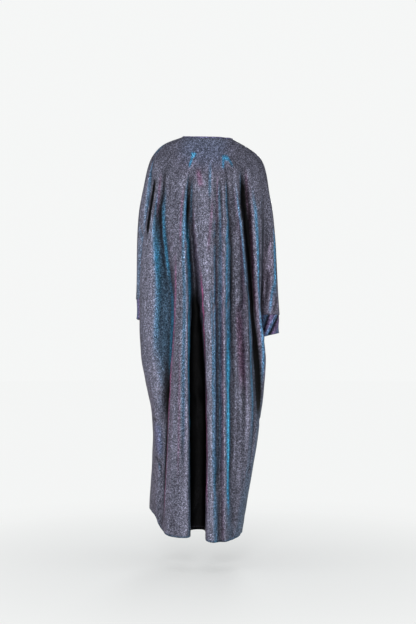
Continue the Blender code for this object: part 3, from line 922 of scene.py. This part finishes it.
def shimmer_finish(name, looks, base):
    """Cloth woven with metallic yarn, with a fine grain. Its blue and rose are painted sheen by
    the fold, its dark marks painted shade, and its crests a painted highlight.
    """
    finish = Finish(name)
    along = finish.node("ShaderNodeUVMap", {"uv_map": FLAT_MAP})
    place = finish.node("ShaderNodeTexCoord", output="Object")
    teal, rose, dark, crest = map(finish.mark, MARKS)
    flank = finish.mix(base, looks.teal_colour, teal.limited())
    flank = finish.mix(flank, looks.cyan_colour, (teal - 1.0).limited())
    flank = finish.mix(flank, looks.rose_colour, rose.limited())
    colour = finish.mix(flank, looks.pink_colour, (rose - 1.0).limited())
    slub = (finish.noise(along, SLUB, 3.0) - 0.5) * SLUB_SHARE
    patch = (finish.noise(along, PATCH, 2.0) - 0.5) * PATCH_SHARE
    fine, coarse = (
        finish.cells(place, looks.grain * MM * wide, looks.grain * MM * high)
        for wide, high in (FINE_GRAIN, COARSE_GRAIN)
    )
    # The metal yarn's own speckle, with its brightest glints painted into the colour as
    # highlights.
    glint = fine * fine * fine
    grain = (glint * GLINT_LIGHT + BETWEEN_GLINTS) * (coarse * 0.45 + 0.78)
    # Painted highlight on crests and painted shade in hollows and under the dark marks.
    hollow = (0.0 - crest).limited()
    relief = 1.0 + crest.limited() * CREST_LIGHT - hollow * HOLLOW_SHADE
    shade = (1.0 - dark.limited() * DARKEST) * (grain + (slub + patch)) * relief
    finish.drive("Base Color", finish.tint(colour, shade))
    finish.drive("Roughness", CLOTH_ROUGHNESS - glint * GLINT_SHINE)
    finish.shader.inputs["Metallic"].default_value = looks.metallic
    finish.shader.inputs["Specular IOR Level"].default_value = CLOTH_SPECULAR
    weave = finish.noise(place, WARP, 1.0) * 0.5 + finish.noise(place, WEFT, 1.0) * 0.35
    finish.bump(weave + fine * 0.4, WEAVE_HEIGHT)
    return finish.material


def thread_finish(name, colour):
    """Sewing thread with a light twist."""
    finish = Finish(name)
    place = finish.node("ShaderNodeTexCoord", output="Object")
    twist = finish.noise(place, (900.0, 900.0, 900.0), 1.0)
    finish.drive("Base Color", finish.tint(colour, twist * 0.6 + 0.7))
    finish.shader.inputs["Roughness"].default_value = 0.6
    finish.bump(twist, 0.0002)
    return finish.material


def panel_marks(cloth, points, normals, rings):
    """The painted light of a panel: blue and rose sheen on the flanks, painted shade in the
    depths.
    """
    teal, rose, dark, crest = map(cloth.painted_marks, MARKS)
    lines = np.clip(teal + rose, 0.0, 1.0)
    depth = np.zeros(teal.shape)
    for row, ring in enumerate(rings):
        there = ~np.isnan(points[row, :, 0])
        depth[row, there] = hull_depth(ring, points[row, there])
    # Painted shade deep inside the garment's outline, in the recesses.
    deep = smooth(*RECESS_DEPTH, depth)
    turn = 0.8 * cloth.painted_marks("turn")
    rim = flank_turn(points, normals)
    hem = smooth(HEM_DROP - 0.008, HEM_DROP - 0.004, cloth.drops)[:, None]
    # Painted sheen on flanks and rims, blue or rose by which way they turn.
    teal += FLANK_TEAL * smooth(*FLANK_TURN, turn) * (1 - deep)
    rose += FLANK_ROSE * smooth(*FLANK_TURN, -turn) * (1 - deep)
    teal += RIM_TEAL * smooth(*RIM_TURN, rim) + HEM_TEAL * hem
    rose += RIM_ROSE * smooth(*RIM_TURN, -rim)
    dark = np.clip(dark + deep, 0.0, 1.0) * (1 - STREAK_CLEAR * lines) + HEM_DARK * hem
    return dict(zip(MARKS, (teal, rose, dark, crest)))


def body_rings(cloths):
    """For each row, the points of the whole garment's ring."""
    grids = [cloth.points() for cloth in cloths]
    rings = []
    for row in range(len(grids[0])):
        ring = np.concatenate([grid[row] for grid in grids])
        rings.append(ring[~np.isnan(ring[:, 0])])
    return rings


def add_panel(name, back, looks):
    """A panel of cloth, thicker where the hem is turned up inside."""
    cloths = [Cloth(side, looks.thickness) for side in (back, not back)]
    cloth = cloths[0]
    points, normals = cloth.points(), cloth.normals()
    marks = panel_marks(cloth, points, normals, body_rings(cloths))
    turned_up = smooth(HEM_DROP - HEM_DEPTH - MM, HEM_DROP - HEM_DEPTH, cloth.drops)
    inner = points - normals * (looks.thickness * (1 + turned_up))[:, None, None]
    mesh = wall_mesh(f"{name}_cloth", points, inner, back, cloth.flat(), marks)
    material = shimmer_finish(f"{name}_shimmer_cloth", looks, looks.cloth_colour)
    piece = add_piece(f"{name}_cloth", mesh, material, name)


def cuff_rings(side):
    """The sleeve's last ring, round the wrist, and the middle of the wrist."""
    back, front = (panel_stretches(back)[0 if side == "left" else 2] for back in (True, False))
    ring = np.concatenate([back.points[-1], front.points[-1][1:-1][::-1]])
    centre_x, centre_y, _ = WRIST[side]
    return ring, np.array([centre_x * MM, centre_y * MM, 0.0]) + ring * (0.0, 0.0, 1.0)


def cuff_folds(side, angle, share):
    """How far a cuff's cloth stands out in mm, at angles round it and a share of its depth."""
    lift = np.zeros(angle.shape)
    for at, lean, width, rise in CUFF_FOLDS[side]:
        off = (angle - math.radians(at) - lean * (share - 0.5) + math.pi) % (2 * math.pi) - math.pi
        lift += rise * np.exp(-((off / width) ** 2))
    return lift


def add_cuff(side, looks):
    """A cuff band: the cloth doubled, pulled in a little, with soft diagonal folds."""
    ring, centres = cuff_rings(side)
    spokes = (ring - centres) * (1.0, 1.0, 0.0)
    size = np.linalg.norm(spokes, axis=1).mean() * CUFF_EASE
    spokes = unit(spokes)
    angle = np.unwrap(np.arctan2(spokes[:, 1], spokes[:, 0] * np.sign(WRIST[side][0])))
    slant = CUFF_SLANT[side] * MM * np.cos(angle - SLANT_ANGLE)
    shares = np.linspace(-CUFF_TUCK, 1.0, CUFF_ROWS)
    rim_place, rim_width, rim_rise = CUFF_RIM
    outer = []
    marks = []
    for share in shares:
        below = max(share, 0.0)
        radius = size * (1 - CUFF_WAIST * math.sin(math.pi * below))
        fold = cuff_folds(side, angle, share)
        free = smooth(0.0, CUFF_GROWTH, share) * (1 - 0.5 * smooth(0.85, 1.0, share))
        rim = rim_rise * math.exp(-(((share - rim_place) / rim_width) ** 2))
        fall = CUFF_DEPTH * share - slant * below**2
        places = centres - fall[:, None] * (0.0, 0.0, 1.0)
        outer.append(places + spokes * (radius + (fold * free + rim) * MM)[:, None])
        # Painted sheen on the folds' flanks, painted shade in their grooves, and painted highlight
        # on their crests.
        flank = cuff_folds(side, angle + FLANK_ANGLE, share)
        flank = flank - cuff_folds(side, angle - FLANK_ANGLE, share)
        tones = zip(CUFF_TONES, (flank, -flank, -fold))
        tones = [flat + np.clip(more * rise, 0.0, most) for (flat, more, most), rise in tones]
        marks.append((*tones, np.clip(fold * CUFF_CREST, -1.0, 1.0)))
    count = len(ring)
    around = np.arange(count + 1) % count
    outer = np.array(outer)[:, around]
    inner = outer - spokes[around] * CUFF_THICKNESS
    steps = np.arange(count + 1) * size * 2 * math.pi / count
    flat = np.stack(np.meshgrid(steps, shares * CUFF_DEPTH), axis=-1)
    marks = dict(zip(MARKS, np.array(marks).swapaxes(0, 1)[..., around]))
    mesh = wall_mesh(f"cuff_{side}_cloth", outer, inner, side == "left", flat, marks)
    material = shimmer_finish(f"cuff_{side}_shimmer", looks, looks.cuff_colour)
    piece = add_piece(f"cuff_{side}_cloth", mesh, material, f"cuff_{side}")


def neck_path(cloths):
    """The closed path of the neck edge, in the middle of the cloth's thickness."""
    halves = []
    for cloth in cloths:
        edge = cloth.points()[0] - cloth.normals()[0] * cloth.thickness / 2
        halves.append(edge[~np.isnan(edge[:, 0])])
    return np.concatenate([halves[0], halves[1][::-1][1:-1]])


def binding_mesh(name, path):
    """A rolled edging along a closed path, taller than it is thick, with its flat coordinates."""
    ways = unit(np.roll(path, -1, axis=0) - np.roll(path, 1, axis=0))
    outwards = (path - path.mean(0)) * (1.0, 1.0, 0.0)
    outwards = unit(outwards - (outwards * ways).sum(1, keepdims=True) * ways)
    turns = np.arange(BINDING_SIDES) * 2 * math.pi / BINDING_SIDES
    over = np.cos(turns)[:, None] * outwards[:, None]
    up = 1.9 * np.sin(turns)[:, None] * np.cross(ways, outwards)[:, None]
    points = path[:, None] + BINDING_RADIUS * (over + up)
    index = np.arange(len(path) * BINDING_SIDES).reshape(len(path), BINDING_SIDES)
    after = np.roll(index, -1, axis=0)
    faces = np.stack([index, np.roll(index, -1, 1), np.roll(after, -1, 1), after], -1)
    flat = np.stack(np.meshgrid(turns * BINDING_RADIUS, path_reach(path)), -1)[..., ::-1]
    faces = faces.reshape(-1, 4).tolist()
    return new_mesh(name, points.reshape(-1, 3), faces, flat.reshape(-1, 2))


def stitch_mesh(name, runs):
    """Short six-sided stitches in one mesh. A run is a path on the cloth and its normals."""
    turns = np.arange(6)[:, None] * math.pi / 3
    swell = STITCH_WIDTH * np.array([0.35, 1.0, 0.35])[:, None, None]
    points = []
    for path, normals in runs:
        reach = path_reach(path)
        places = np.arange(STITCH_PITCH / 2, reach[-1], STITCH_PITCH)
        places = places[:, None] + np.array([-0.5, 0.0, 0.5]) * STITCH_LENGTH
        middles = read_along(places, reach, path)
        ups = unit(read_along(places, reach, normals))
        sides = np.cross(unit(middles[:, 2:] - middles[:, :1]), ups)
        round_it = sides[:, :, None] * np.cos(turns) + ups[:, :, None] * np.sin(turns) * 0.7
        points.append((middles[:, :, None] + round_it * swell).reshape(-1, 3))
    points = np.concatenate(points)
    corners = [(turn, (turn + 1) % 6) for turn in range(6)]
    stitch = [(a, b, b + 6, a + 6) for a, b in corners]
    stitch += [(a + 6, b + 6, b + 12, a + 12) for a, b in corners]
    stitch += [tuple(range(5, -1, -1)), tuple(range(12, 18))]
    starts = range(0, len(points), 18)
    faces = [[start + corner for corner in face] for start in starts for face in stitch]
    return new_mesh(name, points, faces)


def row_at(cloth, drop):
    """The points and normals of the cloth along one drop."""
    row = int(np.searchsorted(cloth.drops, drop))
    low, high = cloth.drops[row - 1], cloth.drops[row]
    share = (drop - low) / (high - low)
    grids = (cloth.points(), cloth.normals())
    path, ways = (grid[row - 1] * (1 - share) + grid[row] * share for grid in grids)
    there = ~np.isnan(path[:, 0])
    return path[there], unit(ways[there])


def seam_runs(cloth):
    """Stitch lines beside the side seams, on one panel, from the underarm to the hem."""
    body = cloth.parts[1]
    first = int(np.searchsorted(body.drops, drop_of(CUFF_LEVEL) + UNDERARM_RING))
    runs = []
    for away in (np.full(len(body.drops), SEAM_MARGIN), body.reach[:, -1] - SEAM_MARGIN):
        grids = (body.points, body.normals())
        runs.append([body.read(grid, away[:, None])[first:, 0] for grid in grids])
    return runs


class AbayaLooks(bpy.types.PropertyGroup):
    """Sizes and colours of the cloth, with the colours of its painted sheen."""

    thickness: FloatProperty(
        name="Thickness", description="Thickness of the cloth", default=0.0014, unit="LENGTH"
    )
    grain: FloatProperty(name="Grain", description="Width of a glint, in mm", default=1.7)
    metallic: FloatProperty(name="Metallic", description="Share of metal yarn", default=0.70)
    cloth_colour: FloatVectorProperty(
        name="Cloth", description="Colour of the open cloth", subtype="COLOR",
        default=(0.074, 0.075, 0.102),
    )
    # Teal, pink, cyan and rose are the colours of the painted sheen on the flanks.
    teal_colour: FloatVectorProperty(
        name="Teal", description="Colour of the blue flanks", subtype="COLOR",
        default=(0.026, 0.140, 0.250),
    )
    pink_colour: FloatVectorProperty(
        name="Pink", description="Colour where a rose edge is brightest", subtype="COLOR",
        default=(0.36, 0.11, 0.22),
    )
    cyan_colour: FloatVectorProperty(
        name="Cyan", description="Colour where a blue flank is brightest", subtype="COLOR",
        default=(0.060, 0.290, 0.480),
    )
    rose_colour: FloatVectorProperty(
        name="Rose", description="Colour of the rose flanks", subtype="COLOR",
        default=(0.110, 0.040, 0.085),
    )
    cuff_colour: FloatVectorProperty(
        name="Cuffs", description="Colour of the cuff bands", subtype="COLOR",
        default=(0.085, 0.080, 0.150),
    )
    thread_colour: FloatVectorProperty(
        name="Thread", description="Colour of the sewing thread", subtype="COLOR",
        default=(0.050, 0.048, 0.075),
    )


class AbayaStage(bpy.types.PropertyGroup):
    """The camera and the light."""

    distance: FloatProperty(
        name="Distance", description="From the camera to the garment", default=4.5, unit="LENGTH"
    )
    height: FloatProperty(
        name="Height", description="Height of the camera", default=-0.62, unit="LENGTH"
    )
    lens: FloatProperty(name="Lens", description="Focal length in mm", default=72.1)
    floor: FloatProperty(
        name="Floor", description="Height of the floor", default=-1.52, unit="LENGTH"
    )
    key: FloatProperty(name="Key light", description="Power of the key light", default=128.0)


class ABAYA_OT_back(bpy.types.Operator):
    """Make the back panel with its half of both sleeves"""

    bl_idname = "abaya.back"
    bl_label = "Back panel"

    def execute(self, context):
        add_panel("back", True, context.scene.abaya_looks)
        return {"FINISHED"}


class ABAYA_OT_front(bpy.types.Operator):
    """Make the front panel with its half of both sleeves"""

    bl_idname = "abaya.front"
    bl_label = "Front panel"

    def execute(self, context):
        add_panel("front", False, context.scene.abaya_looks)
        return {"FINISHED"}


class ABAYA_OT_cuffs(bpy.types.Operator):
    """Make the two cuff bands"""

    bl_idname = "abaya.cuffs"
    bl_label = "Cuffs"

    def execute(self, context):
        for side in ("left", "right"):
            add_cuff(side, context.scene.abaya_looks)
        return {"FINISHED"}


class ABAYA_OT_edges(bpy.types.Operator):
    """Make the rolled neck edge and the stitches of neck, hem and side seams"""

    bl_idname = "abaya.edges"
    bl_label = "Neck edge and stitches"

    def execute(self, context):
        looks = context.scene.abaya_looks
        cloths = [Cloth(back, looks.thickness) for back in (True, False)]
        binding = binding_mesh("neck_binding", neck_path(cloths))
        finish = shimmer_finish("binding_shimmer", looks, looks.cuff_colour)
        add_piece("neck_binding", binding, finish)
        thread = thread_finish("sewing_thread", looks.thread_colour)
        runs = []
        for cloth in cloths:
            for drop in (NECK_MARGIN, HEM_DROP - HEM_DEPTH + 2 * MM):
                runs.append(row_at(cloth, drop))
            runs += seam_runs(cloth)
        stitches = stitch_mesh("edge_stitches", runs)
        add_piece("edge_stitches", stitches, thread)
        return {"FINISHED"}


class ABAYA_OT_stage(bpy.types.Operator):
    """Set up the floor, the light and the camera"""

    bl_idname = "abaya.stage"
    bl_label = "Stage"

    def execute(self, context):
        stage = context.scene.abaya_stage
        add_floor(stage)
        add_lights(stage)
        set_world(context.scene)
        camera = link("camera", bpy.data.cameras.new("camera"))
        camera.data.lens = stage.lens
        camera.data.sensor_width = 36.0
        camera.location = (0.0, stage.distance, stage.height)
        camera.rotation_euler = (math.pi / 2, 0.0, math.pi)
        context.scene.camera = camera
        context.scene.view_settings.view_transform = "Standard"
        return {"FINISHED"}


def add_floor(stage):
    """A wide pale floor that fades into the background."""
    finish = Finish("pale_floor")
    place = finish.node("ShaderNodeNewGeometry", output="Position")
    flat = finish.stretched(place, (1.0, 1.0, 0.0))
    away = finish.node("ShaderNodeVectorMath", {"operation": "LENGTH"}, {0: flat}, output="Value")
    finish.shader.inputs["Base Color"].default_value = FLOOR_COLOUR
    finish.shader.inputs["Roughness"].default_value = 0.9
    far_colour = finish.tint(GLOW_COLOUR, (away * 0.07 + 0.89).limited())
    glow = finish.node("ShaderNodeEmission", None, {"Color": far_colour})
    surface = Value(finish, finish.shader.outputs[0])
    fade = (away * 0.45 + 0.45).limited()
    mixed = finish.node("ShaderNodeMixShader", None, {0: fade, 1: surface, 2: glow})
    finish.put(finish.tree.nodes["Material Output"].inputs["Surface"], mixed)
    turns = np.arange(FLOOR_CORNERS) * 2 * math.pi / FLOOR_CORNERS
    rim = np.stack([FLOOR_RADIUS * np.cos(turns), FLOOR_RADIUS * np.sin(turns), 0 * turns], 1)
    points = np.concatenate([np.zeros((1, 3)), rim]) + (0.0, 0.0, stage.floor)
    faces = [[0, i + 1, (i + 1) % FLOOR_CORNERS + 1] for i in range(FLOOR_CORNERS)]
    mesh = new_mesh("floor", points, faces)
    mesh.materials.append(finish.material)
    link("floor", mesh)


def add_lights(stage):
    """Large soft lights. The key stands by the camera, and the others fill from the sides."""
    lights = (
        # name, place, size, share of the key's power
        ("key_light", (0.3, 3.8, 0.5), 1.3, 0.78),
        ("key_light_low", (-0.2, 3.9, -1.05), 0.8, 0.62),
        ("front_light", (-0.5, -3.8, 0.6), 1.3, 0.8),
        ("front_light_low", (0.3, -3.9, -1.05), 0.8, 0.2),
        ("left_light", (3.6, 0.8, -0.2), 2.0, 0.55),
        ("right_light", (-3.6, 0.6, 0.2), 2.0, 0.30),
        ("top_light", (0.0, 0.6, 3.0), 2.4, 0.35),
    )
    for name, place, size, share in lights:
        light = bpy.data.lights.new(name, "AREA")
        light.shape = "DISK"
        light.size = size
        light.energy = stage.key * share
        lamp = link(name, light)
        lamp.location = place
        aim = np.subtract(LIGHT_AIM, place)
        pitch = math.atan2(math.hypot(aim[0], aim[1]), -aim[2])
        lamp.rotation_euler = (pitch, 0.0, math.atan2(-aim[0], aim[1]))


def set_world(scene):
    """A near-white background that gives only a weak light."""
    world = bpy.data.worlds.new("studio")
    world.use_nodes = True
    tree = world.node_tree
    background = tree.nodes["Background"]
    background.inputs["Color"].default_value = SKY_COLOUR
    path = tree.nodes.new("ShaderNodeLightPath")
    strength = tree.nodes.new("ShaderNodeMapRange")
    strength.inputs["To Min"].default_value = SKY_LIGHT
    strength.inputs["To Max"].default_value = 1.0
    tree.links.new(path.outputs["Is Camera Ray"], strength.inputs["Value"])
    tree.links.new(strength.outputs["Result"], background.inputs["Strength"])
    scene.world = world


class ABAYA_PT_panel(bpy.types.Panel):
    """The sidebar panel that lists the pieces"""

    bl_idname = "ABAYA_PT_panel"
    bl_label = "Abaya"
    bl_space_type = "VIEW_3D"
    bl_region_type = "UI"
    bl_category = "Abaya"

    def draw(self, context):
        for operator in OPERATORS:
            self.layout.operator(operator.bl_idname)
        for group in (context.scene.abaya_looks, context.scene.abaya_stage):
            for name in type(group).__annotations__:
                self.layout.prop(group, name)


OPERATORS = (ABAYA_OT_back, ABAYA_OT_front, ABAYA_OT_cuffs, ABAYA_OT_edges, ABAYA_OT_stage)
CLASSES = (AbayaLooks, AbayaStage, *OPERATORS, ABAYA_PT_panel)


def register():
    for cls in CLASSES:
        bpy.utils.register_class(cls)
    bpy.types.Scene.abaya_looks = PointerProperty(type=AbayaLooks)
    bpy.types.Scene.abaya_stage = PointerProperty(type=AbayaStage)


def unregister():
    del bpy.types.Scene.abaya_stage
    del bpy.types.Scene.abaya_looks
    for cls in reversed(CLASSES):
        bpy.utils.unregister_class(cls)


def main():
    register()
    bpy.ops.abaya.back()
    bpy.ops.abaya.front()
    bpy.ops.abaya.cuffs()
    bpy.ops.abaya.edges()
    bpy.ops.abaya.stage()


if __name__ == "__main__":
    main()
